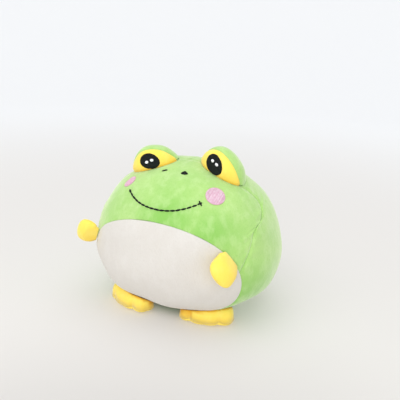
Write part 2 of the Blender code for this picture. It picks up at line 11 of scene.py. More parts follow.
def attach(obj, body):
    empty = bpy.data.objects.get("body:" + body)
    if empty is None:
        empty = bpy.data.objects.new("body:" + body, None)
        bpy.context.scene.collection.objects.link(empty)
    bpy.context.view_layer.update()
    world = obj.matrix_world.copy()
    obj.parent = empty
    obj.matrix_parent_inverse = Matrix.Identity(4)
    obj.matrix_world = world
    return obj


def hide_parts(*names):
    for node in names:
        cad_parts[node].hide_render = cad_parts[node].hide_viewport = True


# Plush frog: fleece covers over fibre filling, an embroidered face, a pale studio
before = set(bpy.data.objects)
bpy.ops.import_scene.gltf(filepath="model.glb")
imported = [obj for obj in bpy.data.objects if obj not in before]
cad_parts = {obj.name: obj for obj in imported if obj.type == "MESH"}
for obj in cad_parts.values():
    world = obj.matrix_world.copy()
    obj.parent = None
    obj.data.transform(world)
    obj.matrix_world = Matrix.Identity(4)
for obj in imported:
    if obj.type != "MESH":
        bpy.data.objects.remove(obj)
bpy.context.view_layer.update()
print("frame loaded:", len(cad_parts), "pieces")


def inScene(name, data):
    made = bpy.data.objects.new(name, data)
    bpy.context.scene.collection.objects.link(made)
    return made


# Camera, where the photographer stood
shot = {
    "place": (0.13458, -0.28016, 0.15541),  # metres
    "right": (0.9027, 0.4280, 0.0441),
    "up": (-0.1597, 0.2382, 0.9580),
    "lens": 48.38,  # mm
    "sensor": 36,  # mm wide
    "nearest": 0.01,
}


def makeCamera():
    data = bpy.data.cameras.new("photoCamera")
    data.lens, data.sensor_width, data.clip_start = shot["lens"], shot["sensor"], shot["nearest"]
    camera = inScene("photoCamera", data)
    right = Vector(shot["right"]).normalized()
    back = right.cross(Vector(shot["up"])).normalized()
    turn = Matrix((right, back.cross(right), back)).transposed()
    camera.matrix_world = Matrix.Translation(shot["place"]) @ turn.to_4x4()
    bpy.context.scene.camera = camera
    bpy.context.scene.view_settings.view_transform = "Standard"


makeCamera()
print("camera placed")


# Small helpers for points held in arrays

def unit(vectors):
    return vectors / np.maximum(np.linalg.norm(vectors, axis=-1, keepdims=True), 1e-12)


def heading(azimuth, elevation):
    # degrees round from the front towards the frog's left, and degrees up
    a, e = np.radians(azimuth), np.radians(elevation)
    return np.stack([np.sin(a) * np.cos(e), -np.cos(a) * np.cos(e), np.sin(e) + 0 * a], -1)


def softStep(value, start, end):
    share = np.clip((value - start) / (end - start), 0, 1)
    return share * share * (3 - 2 * share)


def bell(value, width):
    return np.exp(-((value / width) ** 2))


def turned(x, y, degrees):
    t = math.radians(degrees)
    return x * math.cos(t) - y * math.sin(t), x * math.sin(t) + y * math.cos(t)


def fullTurn(count):
    return np.linspace(0, 2 * math.pi, count, endpoint=False)


def crowded(count, amount):
    # shares from 0 to 1, closer together near both ends
    even = np.linspace(0, 1, count)
    return amount * (1 - np.cos(np.pi * even)) / 2 + (1 - amount) * even


def halved(low, high, stillLow):
    # where stillLow turns false between low and high
    for _ in range(36):
        half = (low + high) / 2
        up = stillLow(half)
        low, high = np.where(up, half, low), np.where(up, high, half)
    return low


def sheetNormals(grid, middle, way):
    # square to a grid, on the side that way shows at its middle
    out = unit(np.cross(np.gradient(grid, axis=0), np.gradient(grid, axis=1)))
    return out if np.dot(out[middle], way) > 0 else -out


def runLengths(points, axis):
    # how far along a grid's rows or columns each point lies
    steps = np.linalg.norm(np.diff(points, axis=axis), axis=-1)
    start = np.zeros_like(np.take(steps, [0], axis=axis))
    return np.concatenate([start, np.cumsum(steps, axis=axis)], axis=axis)


# Nodes: add, a tree's own addNode, gives a new one numbers, colours or sockets and returns its outputs

def feed(node, given):
    for name, value in given.items():
        socket = node.inputs[name]
        if isinstance(value, bpy.types.NodeSocket):
            node.id_data.links.new(value, socket)
        else:
            socket.default_value = (*value, 1) if socket.type == "RGBA" else value


def addNode(tree, kind, given=None, **settings):
    node = tree.nodes.new(kind)
    for name, value in settings.items():
        setattr(node, name, value)
    feed(node, given or {})
    return node.outputs


def noise(add, size, detail, stretch=(1, 1, 1)):
    # patches about size metres across, on the object's own coordinates
    spot = add("ShaderNodeTexCoord")["Object"]
    scale = [1 / (size * way) for way in stretch]
    spot = add("ShaderNodeMapping", {"Vector": spot, "Scale": scale})["Vector"]
    return add("ShaderNodeTexNoise", {"Vector": spot, "Scale": 1, "Detail": detail})["Fac"]


def mix(add, share, first, second):
    # inputs 6 and 7 and output 2 are the node's colours
    return add("ShaderNodeMix", {"Factor": share, 6: first, 7: second}, data_type="RGBA")[2]


def ramp(add, value, low, high, toLow=0.0, toHigh=1.0):
    given = {"Value": value, "From Min": low, "From Max": high, "To Min": toLow, "To Max": toHigh}
    return add("ShaderNodeMapRange", given, interpolation_type="SMOOTHSTEP")["Result"]


def reckon(add, kind, first, second):
    return add("ShaderNodeMath", {0: first, 1: second}, operation=kind)["Value"]


def distance(add, spot):
    given = {0: add("ShaderNodeTexCoord")["Object"], 1: spot}
    return add("ShaderNodeVectorMath", given, operation="DISTANCE")["Value"]


def bump(add, height, depth, strength):
    given = {"Height": height, "Distance": depth, "Strength": strength}
    return add("ShaderNodeBump", given)["Normal"]


def attribute(add, name):
    return add("ShaderNodeAttribute", attribute_name=name)["Fac"]


def newMaterial(name):
    material = bpy.data.materials.new(name)
    material.use_nodes = True
    tree = material.node_tree
    return material, partial(addNode, tree), tree.nodes["Principled BSDF"]


# Materials

fleeceLooks = {
    # colour: the nap from the side, deep: between the fibres, tip: where the nap stands up; the last colour is
    # painted shade, laid where shade falls in seams, creases and crevices
    "green_fleece": {
        "colour": (0.42, 0.65, 0.208), "deep": (0.24, 0.53, 0.10), "tip": (0.58, 0.76, 0.36),
        "paintedShade": (0.16, 0.34, 0.06), "sheen": 0.7, "tint": (1.0, 1.0, 0.88)},
    "white_fleece": {
        "colour": (0.67, 0.64, 0.595), "deep": (0.61, 0.57, 0.52), "tip": (0.71, 0.685, 0.65),
        "paintedShade": (0.55, 0.50, 0.42), "sheen": 0.25, "tint": (1.0, 0.99, 0.97)},
    "yellow_fleece": {
        "colour": (0.97, 0.755, 0.125), "deep": (0.955, 0.70, 0.09), "tip": (0.98, 0.81, 0.23),
        "paintedShade": (0.80, 0.40, 0.025), "sheen": 0.4, "tint": (1.0, 1.0, 0.85)},
}
pile = {"tuft": 0.0007, "brushed": 0.0045, "patch": 0.019, "lie": (1.0, 1.0, 1.9), "mottle": 0.3,
        "depth": 0.0002, "strength": 0.7, "brushedHeight": 1.6, "rough": (0.86, 1.0), "shine": 0.15,
        "sheenRoughness": 0.45}
# painted shade: the green is deepened in patches under the mouth and low on the frog's left side, where less
# light falls: place, radius, strength
paintedShadeSpots = [((0.008, -0.045, 0.064), 0.020, 0.9), ((0.031, -0.040, 0.058), 0.017, 0.8),
               ((0.048, -0.018, 0.010), 0.033, 1.0)]


def paintedShadeShare(add):
    # strongest in the middle of each painted patch, 0 away from them
    total = None
    for spot, radius, strength in paintedShadeSpots:
        near = ramp(add, distance(add, spot), 0.1 * radius, 1.3 * radius, strength, 0.0)
        total = near if total is None else reckon(add, "MAXIMUM", total, near)
    return total


def makeFleece(name):
    look = fleeceLooks[name]
    material, add, shader = newMaterial(name + "_nap")
    tufts = noise(add, pile["tuft"], 2.0, pile["lie"])
    brushed = noise(add, pile["brushed"], 3.0, pile["lie"])
    patches = noise(add, pile["patch"], 1.0)
    colour = mix(add, ramp(add, patches, 0.3, 0.7, 0.0, pile["mottle"]), look["colour"], look["deep"])
    # painted shade on the green: deeper patches where less light falls
    if name == "green_fleece":
        colour = mix(add, paintedShadeShare(add), colour, look["deep"])
    for value, low, high, other in ((brushed, 0.42, 0.7, "tip"), (tufts, 0.52, 0.3, "deep")):
        colour = mix(add, ramp(add, value, low, high, 0.0, pile["mottle"]), colour, look[other])
    height = reckon(add, "ADD", reckon(add, "MULTIPLY", brushed, pile["brushedHeight"]), tufts)
    feed(shader, {
        # painted shade: each cover's per-point share mixes in the darker colour where shade falls
        "Base Color": mix(add, attribute(add, "paintedShade"), colour, look["paintedShade"]),
        "Normal": bump(add, height, pile["depth"], pile["strength"]),
        "Roughness": ramp(add, tufts, 0.3, 0.7, *pile["rough"]),
        "Specular IOR Level": pile["shine"],
        "Sheen Weight": look["sheen"],
        "Sheen Roughness": pile["sheenRoughness"],
        "Sheen Tint": look["tint"]})
    return material


threadLooks = {
    "black_thread": {"colour": (0.008, 0.010, 0.010), "other": (0.015, 0.019, 0.016),
                     "rough": 0.55, "sheen": 0.0, "shine": 0.12},
    "pink_thread": {"colour": (0.83, 0.65, 0.73), "other": (0.66, 0.33, 0.46),
                    "rough": 0.45, "sheen": 0.2, "shine": 0.3},
    "white_thread": {"colour": (0.92, 0.92, 0.92), "other": (0.84, 0.84, 0.86),
                     "rough": 0.4, "sheen": 0.1, "shine": 0.3},
}
strand = {"ply": 0.0003, "lay": 0.0016, "depth": 0.00005, "strength": 0.6}


def makeThread(name):
    look = threadLooks[name]
    material, add, shader = newMaterial(name + "_ply")
    plies = noise(add, strand["ply"], 1.0)
    lay = noise(add, strand["lay"], 2.0)
    colour = mix(add, attribute(add, "tone"), look["colour"], look["other"])
    feed(shader, {
        "Base Color": mix(add, ramp(add, lay, 0.4, 0.7, 0.0, 0.5), colour, look["other"]),
        "Normal": bump(add, plies, strand["depth"], strand["strength"]),
        "Roughness": ramp(add, plies, 0.3, 0.7, look["rough"] - 0.1, look["rough"] + 0.15),
        "Specular IOR Level": look["shine"],
        "Sheen Weight": look["sheen"]})
    return material


fibre = {"size": 0.0012, "stretch": (1, 3, 1), "dark": (0.72, 0.72, 0.70), "light": (0.86, 0.86, 0.84),
         "depth": 0.0006, "strength": 0.8, "rough": 0.95}


def makeFibre():
    # the polyester filling, which only shows if a cover is taken off
    material, add, shader = newMaterial("filling_fibre_wool")
    strands = noise(add, fibre["size"], 4.0, fibre["stretch"])
    feed(shader, {
        "Base Color": mix(add, ramp(add, strands, 0.35, 0.65), fibre["dark"], fibre["light"]),
        "Normal": bump(add, strands, fibre["depth"], fibre["strength"]),
        "Roughness": fibre["rough"]})
    return material


finishes = {name: makeFleece(name) for name in fleeceLooks}
finishes.update({name: makeThread(name) for name in threadLooks})
finishes["filling_fibre"] = makeFibre()
print("materials made:", len(finishes))


# Meshes made from grids of points

def gridIndex(rows, columns, wrap=False):
    # wrap: the columns go round
    index = np.arange(rows * columns).reshape(rows, columns)
    return np.concatenate([index, index[:, :1]], axis=1) if wrap else index


def quadsOf(index):
    corners = [index[:-1, :-1], index[1:, :-1], index[1:, 1:], index[:-1, 1:]]
    return np.stack(corners, -1).reshape(-1, 4)


def newMesh(name, points, faces=(), edges=()):
    mesh = bpy.data.meshes.new(name)
    mesh.from_pydata(points.tolist(), list(edges), list(faces))
    return mesh


def setValues(mesh, name, values):
    # one number for each point
    held = mesh.attributes.new(name, "FLOAT", "POINT")
    held.data.foreach_set("value", values.astype(np.float32))


def workOn(mesh, *jobs):
    work = bmesh.new()
    work.from_mesh(mesh)
    for job in jobs:
        job(work)
    work.to_mesh(mesh)
    work.free()


def weld(work, reach=1e-7):
    bmesh.ops.remove_doubles(work, verts=work.verts, dist=reach)
    bmesh.ops.dissolve_degenerate(work, edges=work.edges, dist=reach)


def turnOut(work):
    bmesh.ops.recalc_face_normals(work, faces=work.faces)


def asPiece(name, mesh, finish):
    mesh.materials.append(finishes[finish])
    mesh.shade_smooth()
    return inScene(name, mesh)


def closedShell(name, outer, inner, finish, paintedShade=None, wrap=False):
    # a cover: two like sheets of points, closed round their borders
    rows, columns = outer.shape[:2]
    near = gridIndex(rows, columns, wrap)
    far = near + rows * columns
    borders = [(near[-1], far[-1])]
    if not wrap:
        borders += [(near[0][::-1], far[0][::-1]), (near[:, 0], far[:, 0]), (near[::-1, -1], far[::-1, -1])]
    walls = [np.stack([a[:-1], b[:-1], b[1:], a[1:]], -1) for a, b in borders]
    faces = np.concatenate([quadsOf(near), quadsOf(far)[:, [0, 3, 2, 1]], *walls])
    mesh = newMesh(name, np.concatenate([outer.reshape(-1, 3), inner.reshape(-1, 3)]), faces.tolist())
    # the share of painted shade at each point, kept for the fleece
    paintedShade = np.zeros((rows, columns)) if paintedShade is None else paintedShade
    setValues(mesh, "paintedShade", np.tile(paintedShade.reshape(-1), 2))
    workOn(mesh, weld, turnOut)
    return asPiece(name, mesh, finish)


def dress(piece, body, finish, *nodes, fill=None):
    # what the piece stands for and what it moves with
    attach(piece, body)
    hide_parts(*nodes)


def sewCover(name, body, node, finish, fill, outer, inner, paintedShade=None, wrap=False):
    dress(closedShell(name, outer, inner, finish, paintedShade, wrap), body, finish, node, fill=fill)


# Padding: Blender's cloth, blown up a little inside its seams, on a copy scaled up for the solver

def solvedShift(copy, rest, look):
    # how far the cloth moves each of its points from rest
    modifier = copy.modifiers.new("padding", "CLOTH")
    cloth, cache = modifier.settings, modifier.point_cache
    cloth.tension_stiffness = cloth.compression_stiffness = look["stiffness"]
    cloth.shear_stiffness = look["stiffness"] / 3
    cloth.bending_stiffness = look["bending"]
    cloth.quality, cloth.mass = 5, 0.3
    cloth.use_pressure = True
    cloth.uniform_pressure_force = look["pressure"]
    cloth.shrink_min = look["shrink"]
    cloth.vertex_group_mass = "sewn"
    cloth.effector_weights.gravity = 0
    modifier.collision_settings.use_collision = False
    cache.frame_start, cache.frame_end = 1, look["frames"]
    for number in range(1, look["frames"] + 1):
        bpy.context.scene.frame_set(number)
    solved = copy.evaluated_get(bpy.context.evaluated_depsgraph_get())
    moved = np.zeros(rest.size)
    solved.data.vertices.foreach_get("co", moved)
    bpy.data.objects.remove(copy)
    bpy.context.scene.frame_set(1)
    return moved.reshape(-1, 3) / look["scale"] - rest


def puffUp(name, grids, pinned, look, wrap=False):
    # two like grids that meet along their borders; pinned marks the points that are sewn down
    rows, columns = grids[0].shape[:2]
    points = np.concatenate([grid.reshape(-1, 3) for grid in grids])
    keys = np.round(points / 2e-6).astype(np.int64)
    _, first, where = np.unique(keys, axis=0, return_index=True, return_inverse=True)
    where = where.reshape(-1)
    faces = []
    for number in range(len(grids)):
        quads = quadsOf(where[gridIndex(rows, columns, wrap) + number * rows * columns])
        faces += [list(dict.fromkeys(quad)) for quad in (quads[:, ::-1] if number else quads).tolist()]
    faces = [face for face in faces if len(face) > 2]
    mesh = newMesh(name, points[first] * look["scale"], faces)
    workOn(mesh, turnOut)
    copy = inScene(name, mesh)
    held = np.concatenate([mark.reshape(-1) for mark in pinned])
    copy.vertex_groups.new(name="sewn").add([int(v) for v in set(where[held].tolist())], 1.0, "REPLACE")
    shift = solvedShift(copy, points[first], look)
    length = np.linalg.norm(shift, axis=1, keepdims=True)
    shift = shift * look["cap"] * np.tanh(length / look["cap"]) / np.maximum(length, 1e-9)
    print("padding blown up:", name, "moved up to %.2f mm" % (1000 * np.linalg.norm(shift, axis=1).max()))
    return list((points + shift[where]).reshape(len(grids), rows, columns, 3))


# Body: the ball, in metres about its middle, and the four panels sewn over it

ball = {
    "middle": (0.00042, 0.00004, 0.0441), "halfWidth": 0.0550, "halfDepth": 0.0499,
    "upperHeight": 0.0456, "lowerHeight": 0.0446, "lean": 0.0019,
    "fullness": 2.247, "taper": 0.132, "shoulder": 0.011,
    "floor": -0.0441, "settle": 0.0004, "fleece": 0.0016,
    "held": 0.0012,  # how far the feet hold its lower rim off the floor
    "heldOutside": (0.012, 0.020), "heldBelow": (0.020, 0.006),
}
middle = np.array(ball["middle"])


def ballLevel(points, inset):
    # below 0 inside the ball drawn in by inset
    x, y, z = np.moveaxis(points, -1, 0)
    rise = z / (np.where(z > 0, ball["upperHeight"], ball["lowerHeight"]) - inset)
    swell = 1 - ball["taper"] * rise - ball["shoulder"] * (rise * rise - 1 / 3)
    across = np.abs(x / ((ball["halfWidth"] - inset) * swell))
    along = np.abs((y + ball["lean"] * rise) / ((ball["halfDepth"] - inset) * swell))
    return across ** ball["fullness"] + along ** ball["fullness"] + np.abs(rise) ** ball["fullness"] - 1


def crossing(start, direction, inset, near, far):
    # where the ball's surface is met on the way from start
    def inside(reach):
        return ballLevel(start + reach[..., None] * direction, inset) < 0
    low, high = np.full(start.shape[:-1], float(near)), np.full(start.shape[:-1], float(far))
    startsInside = inside(low)
    return start + halved(low, high, lambda half: inside(half) == startsInside)[..., None] * direction


def ballSurface(directions, inset=0.0):
    points = crossing(np.zeros_like(directions), directions, inset, 0, 2 * ball["halfWidth"])
    height = points[..., 2]
    points[..., 2] = np.where(height < ball["floor"] + inset + ball["settle"], ball["floor"] + inset, height)
    return points


def onBall(azimuth, elevation):
    return ballSurface(heading(azimuth, elevation))


def heldUp(points):
    aside = softStep(np.hypot(points[..., 0], points[..., 1]), *ball["heldOutside"])
    return ball["held"] * aside * softStep(points[..., 2] - ball["floor"], *ball["heldBelow"])


def ballNormals(points):
    slopes = [ballLevel(points + step, 0) - ballLevel(points - step, 0) for step in 0.0003 * np.eye(3)]
    return unit(np.stack(slopes, -1))


panels = {
    "stations": 261, "faceColumns": 84, "backColumns": 112, "crowding": 0.7,
    # seams in degrees round and up: the oval one round the belly, and the side one from where they meet
    "bellyCentre": -17.7, "bellyHalf": (57.4, 39.7), "meeting": -6.0,
    "side": ((63, 7), (68, 16), (80, 22), (87, 30), (82, 40), (75, 47), (70, 62), (47, 79), (0, 82.5)),
    "gap": 0.00004, "tuck": 0.0002, "deepest": 0.0012, "shadeWidth": 0.0007,
}
seamLooks = {
    # depth and width of the valley, how much painted shade it gets, the puckers beside it, and how far these
    # reach
    "belly": {"depth": 0.0002, "width": 0.0007, "dark": 0.0,
              "pucker": 0.00010, "wave": 0.0062, "reach": 0.0022, "seed": 3},
    "side": {"depth": 0.0008, "width": 0.0012, "dark": 0.6,
             "pucker": 0.00062, "wave": 0.0068, "reach": 0.0034, "seed": 8},
    "back": {"depth": 0.0008, "width": 0.0012, "dark": 0.22,
             "pucker": 0.00030, "wave": 0.0080, "reach": 0.0030, "seed": 5},
}


def evenRun(directions, count):
    reached = runLengths(directions, 0)
    wanted = np.linspace(0, reached[-1], count)
    return unit(np.stack([np.interp(wanted, reached, values) for values in directions.T], -1))


def roundedRun(knots, steps=40):
    # Catmull-Rom through the knots
    padded = np.vstack([2 * knots[0] - knots[1], knots, 2 * knots[-1] - knots[-2]])
    share = np.linspace(0, 1, steps, endpoint=False)[:, None]
    run = []
    for a, b, c, d in zip(padded, padded[1:], padded[2:], padded[3:]):
        bend = 2 * a - 5 * b + 4 * c - d
        run.append((2 * b + (c - a) * share + bend * share**2 + (3 * b - a - 3 * c + d) * share**3) / 2)
    return unit(np.vstack([*run, knots[-1]]))


def bellySeam(turn):
    wide, high = panels["bellyHalf"]
    return heading(wide * np.cos(turn), panels["bellyCentre"] + high * np.sin(turn))


def bellyAzimuth(elevation):
    wide, high = panels["bellyHalf"]
    turn = math.asin((elevation - panels["bellyCentre"]) / high)
    return wide * math.cos(turn), turn


def puckers(seam, look):
    # small hills and dents along a seam, alike on both sides of it; their heights by station
    lengths = ball["halfDepth"] * runLengths(seam, 0)
    chance = np.random.RandomState(look["seed"])
    knots = np.arange(0, lengths[-1] + look["wave"], look["wave"] / 2)
    knots = knots + chance.uniform(-0.16, 0.16, knots.size) * look["wave"]
    heights = chance.uniform(0.35, 1.0, knots.size) * np.where(np.arange(knots.size) % 2, 1, -1)
    kernel = np.hanning(9) / np.hanning(9).sum()
    fine = np.pad(np.interp(lengths, knots, heights), 4, mode="edge")
    return look["pucker"] * np.convolve(fine, kernel, mode="valid")


def seamRuns():
    azimuth, turn = bellyAzimuth(panels["meeting"])
    upper = bellySeam(np.linspace(turn, math.pi - turn, 400))
    lower = bellySeam(np.linspace(turn, -math.pi - turn, 400))
    half = heading(*np.array([(azimuth, panels["meeting"]), *panels["side"]], float).T)
    side = roundedRun(np.vstack([half, half[-2::-1] * np.array([-1, 1, 1])]))
    return [evenRun(seam, panels["stations"]) for seam in (upper, lower, side)]


def panelDirections(first, second, columns):
    # a grid between two seams that meet at both ends, closer together beside them
    ends = [seam.copy() for seam in (first, second)]
    for seam in ends:
        seam[0] = seam[0] + 0.2 * (seam[1] - seam[0])
        seam[-1] = seam[-1] + 0.2 * (seam[-2] - seam[-1])
    a, b = map(unit, ends)
    angle = np.arccos(np.clip(np.sum(a * b, -1), -1, 1))[:, None]
    edge = np.minimum(panels["gap"] / 2 / ball["halfDepth"] / np.maximum(angle, 1e-6), 0.2)
    share = (edge + (1 - 2 * edge) * crowded(columns, panels["crowding"]))[..., None]
    a, b, angle = a[:, None], b[:, None], np.maximum(angle, 1e-9)[..., None]
    return (np.sin((1 - share) * angle) * a + np.sin(share * angle) * b) / np.sin(angle)


lumps = {"height": 0.00013, "waves": 9, "shortest": 0.013, "longest": 0.040, "seed": 21,
         "clear": (0.016, 0.025)}
eyeFeet = []  # where the eyes are sewn down; the padding is even there


def lumpHeights(points):
    # the filling is never quite even
    chance = np.random.RandomState(lumps["seed"])
    total = np.zeros(points.shape[:-1])
    for _ in range(lumps["waves"]):
        way = unit(chance.normal(size=3)) * 2 * math.pi / chance.uniform(lumps["shortest"], lumps["longest"])
        total += np.sin(points @ way + chance.uniform(0, 2 * math.pi))
    total *= lumps["height"]
    for seat in eyeFeet:
        total *= softStep(np.linalg.norm(points - seat, axis=-1), *lumps["clear"])
    return total


def seamTraits(name, run, look):
    # by station: the puckers' heights, the valley's depth and how much painted shade it gets
    calm = dark = np.ones(len(run))
    if name == "side":  # flat and unseen over the head, painted shade only where the cover gapes
        calm = 0.25 + 0.75 * softStep(run[:, 2], 0.82, 0.5)
        dark = bell(run[:, 2] - 0.345, 0.05) + 0.08 * softStep(run[:, 2], 0.8, 0.5)
    return np.stack([puckers(run, look) * calm, look["depth"] * calm, look["dark"] * dark], -1)


def seamValley(away, seam):
    # how far the cover stands out at some distance from a seam, and how much painted shade it gets
    look, hills, depth, dark = seam["look"], *(seam["traits"][:, k:k + 1] for k in range(3))
    near = away / look["reach"]
    valley = -depth * np.exp(-((away / look["width"]) ** 2) / 1.2)
    return valley, hills * near * np.exp(1 - near), dark * bell(away, panels["shadeWidth"])


def coverPanel(first, second, columns):
    # first and second: a seam's directions, its look and its traits
    directions = panelDirections(first["run"], second["run"], columns)
    surface = ballSurface(directions)
    away = runLengths(surface, 1)
    valleyA, hillsA, darkA = seamValley(away, first)
    valleyB, hillsB, darkB = seamValley(away[:, -1:] - away, second)
    roomy = softStep(away[:, -1:], 0.004, 0.016)
    resting = softStep(surface[..., 2] - ball["floor"], 0.0, 0.006)
    stand = np.minimum(valleyA, valleyB) + (hillsA + hillsB) * roomy * resting + lumpHeights(surface) * resting
    stand = np.maximum(stand, -panels["deepest"])
    for border in (np.s_[0, :], np.s_[-1, :], np.s_[:, 0], np.s_[:, -1]):
        stand[border] = np.minimum(stand[border], 0) - panels["tuck"]
    outer = surface + stand[..., None] * ballNormals(surface)
    outer[..., 2] = np.maximum(outer[..., 2], ball["floor"]) + heldUp(surface)
    # the last: painted shade along the seams, darkest in their valleys
    return outer, ballSurface(directions, ball["fleece"]), np.maximum(darkA, darkB)


def skinOf(grid):
    faces = quadsOf(gridIndex(*grid.shape[:2]))
    return BVHTree.FromPolygons(grid.reshape(-1, 3).tolist(), faces.tolist())


def makeBody():
    upper, lower, side = seamRuns()
    half = panels["stations"] // 2
    start, end = (math.degrees(math.atan2(way[2], -way[1])) for way in (side[half], lower[half]))
    sweep = np.linspace(start, 360 + end, 400)
    meridian = evenRun(heading(0 * sweep, sweep), panels["stations"])
    seams = {}
    for name, run, kind in (("upper", upper, "belly"), ("lower", lower, "belly"), ("side", side, "side"),
                            ("meridian", meridian, "back")):
        seams[name] = {"run": run, "look": seamLooks[kind], "traits": seamTraits(name, run, seamLooks[kind])}
    for name, first, second in (("edge", np.s_[half:0:-1], np.s_[: half + 1]),
                                ("otherEdge", np.s_[half:-1], np.s_[: -half - 2:-1])):
        seams[name] = {part: np.vstack([seams["side"][part][first], seams["lower"][part][second]])
                       for part in ("run", "traits")} | {"look": seamLooks["side"]}
    green, face, back = "green_fleece", panels["faceColumns"], panels["backColumns"]
    plan = {
        "face_cover": ("face_panel", "upper", "side", face, green),
        "belly_cover": ("belly_panel", "upper", "lower", face, "white_fleece"),
        "back_cover_left": ("back_panel_left", "edge", "meridian", back, green),
        "back_cover_right": ("back_panel_right", "otherEdge", "meridian", back, green),
    }
    for name, (node, first, second, columns, finish) in plan.items():
        outer, inner, paintedShade = coverPanel(seams[first], seams[second], columns)
        sewCover(name, "body", node, finish, 0.9, outer + middle, inner + middle, paintedShade)
        print("cover sewn:", name)
        if name == "face_cover":
            faceSkin = skinOf(outer + middle)
    return faceSkin


# Eyes: the end of an ellipsoid, yellow in front and green behind

eye = {
    "azimuth": {"left": 68.4, "right": 56.4}, "elevation": {"left": 62.9, "right": 62.2},
    "turn": {"left": 18.2, "right": 12.2}, "lean": {"left": 20.4, "right": 19.7}, "rim": 81.7,
    "halfWidth": 0.0157, "halfDepth": 0.0118, "halfHeight": 0.0202,
    "setBack": {"left": 0.0053, "right": 0.0024}, "sunk": {"left": 0.0063, "right": 0.0084},
    "fleece": 0.0012, "halfGap": 0.00003, "lumps": 0.35, "rows": 97, "columns": 41,
    # how deep, or how much painted shade, and how wide
    "rimDip": (0.0004, 0.0008), "footTuck": (0.0006, 0.0011),
    "rimShade": (0.12, 0.0006), "footShade": (0.4, 0.0008), "frontShade": (0.4, 0.0038),
}
sides = {"left": 1, "right": -1}


def eyeAxes(side, sign):
    centre = onBall(sign * eye["azimuth"][side], eye["elevation"][side])
    normal = ballNormals(centre)
    outward = unit(np.array([sign, 0, 0]) - sign * normal[0] * normal)
    forward = unit(np.array([0, -1.0, 0]) + normal[1] * normal)
    forward = unit(forward - np.dot(forward, outward) * outward)
    outward, forward = turned(outward, forward, -eye["turn"][side])
    front, crown = turned(forward, normal, eye["lean"][side])
    return {"middle": centre - eye["setBack"][side] * forward - eye["sunk"][side] * normal,
            "outward": outward, "front": front, "crown": crown, "foot": centre}


def eyePoint(axes, sweep, climb, inset):
    ring = (eye["halfDepth"] - inset) * np.cos(climb)[..., None] * axes["front"]
    ring = ring + (eye["halfHeight"] - inset) * np.sin(climb)[..., None] * axes["crown"]
    wide = (eye["halfWidth"] - inset) * np.sin(sweep)[..., None] * axes["outward"]
    return axes["middle"] + wide + np.cos(sweep)[..., None] * ring


def eyeSheet(axes, inset, toward):
    # over the front (toward 1) or back of the eye, from its rim down to the head
    rim = math.radians(eye["rim"])
    line = np.linspace(-math.pi / 2, math.pi / 2, 1441)
    clear = line[ballLevel(eyePoint(axes, line, np.full(line.shape, rim), inset), -0.0006) > 0]
    sweep = clear[0] + (clear[-1] - clear[0]) * crowded(eye["rows"], 0.75)
    low = halved(np.full(sweep.shape, rim), np.full(sweep.shape, -0.5 if toward > 0 else math.pi + 0.5),
                 lambda half: ballLevel(eyePoint(axes, sweep, half, inset), -0.0003) > 0)
    share = crowded(eye["columns"], 0.6)[None, :]
    margin = toward * eye["halfGap"] / (eye["halfDepth"] * np.maximum(np.cos(sweep), 0.05))
    climb = (rim - margin)[:, None] * (1 - share) + low[:, None] * share
    return eyePoint(axes, sweep[:, None] + 0 * share, climb, inset)


def eyeTrait(key, away):
    amount, width = eye[key]
    return amount * bell(away, width)


def makeEye(side, axes):
    centre = eye["rows"] // 2, eye["columns"] // 2
    for place, toward, finish in (("front", 1, "yellow_fleece"), ("back", -1, "green_fleece")):
        surface, inner = eyeSheet(axes, 0, toward), eyeSheet(axes, eye["fleece"], toward)
        fromRim = runLengths(surface, 1)
        fromFoot = fromRim[:, -1:] - fromRim
        stand = eye["lumps"] * lumpHeights(surface * 2.3) - eyeTrait("rimDip", fromRim)
        stand = stand - eyeTrait("footTuck", fromFoot)
        outer = surface + stand[..., None] * sheetNormals(surface, centre, surface[centre] - axes["middle"])
        # painted shade along the rim and the foot, and on the yellow front a wider band up from the foot
        paintedShade = eyeTrait("rimShade", fromRim) + eyeTrait("footShade", fromFoot)
        if place == "front":
            paintedShade, skin = paintedShade + eyeTrait("frontShade", fromFoot), skinOf(outer + middle)
        sewCover(f"eye_{place}_cover_{side}", "body", f"eye_{side}_{place}_cover", finish, 0.85,
                 outer + middle, inner + middle, np.clip(paintedShade, 0, 0.8))
    print("eye sewn:", side)
    return axes, skin


eyeSeats = {side: eyeAxes(side, sign) for side, sign in sides.items()}
eyeFeet.extend(axes["foot"] for axes in eyeSeats.values())
faceSkin = makeBody()
eyes = {side: makeEye(side, axes) for side, axes in eyeSeats.items()}


# Geometry Nodes: threads swept along rows, and running stitches along a path

def newTree(name, sizes):
    # the tree, its addNode and its inputs
    tree = bpy.data.node_groups.new(name, "GeometryNodeTree")
    for label, kind in {"Geometry": "Geometry", **sizes, "Finish": "Material"}.items():
        tree.interface.new_socket(label, in_out="INPUT", socket_type="NodeSocket" + kind)
    tree.interface.new_socket("Geometry", in_out="OUTPUT", socket_type="NodeSocketGeometry")
    add = partial(addNode, tree)
    return tree, add, add("NodeGroupInput")


def closeTree(add, given, made):
    # every tree ends alike
    made = add("GeometryNodeSetShadeSmooth", {"Geometry": made})["Geometry"]
    made = add("GeometryNodeRealizeInstances", {"Geometry": made})["Geometry"]
    made = add("GeometryNodeSetMaterial", {"Geometry": made, "Material": given["Finish"]})["Geometry"]
    add("NodeGroupOutput", {"Geometry": made})


def makeThreadTree():
    # rows of points become round threads
    tree, add, given = newTree("satinThreads", {"Thread Radius": "Float", "Thread Sides": "Int"})
    path = add("GeometryNodeMeshToCurve", {"Mesh": given["Geometry"]})["Curve"]
    ring = add("GeometryNodeCurvePrimitiveCircle", {
        "Radius": given["Thread Radius"], "Resolution": given["Thread Sides"]})["Curve"]
    threads = add("GeometryNodeCurveToMesh", {
        "Curve": path, "Profile Curve": ring, "Fill Caps": True})["Mesh"]
    closeTree(add, given, threads)
    return tree


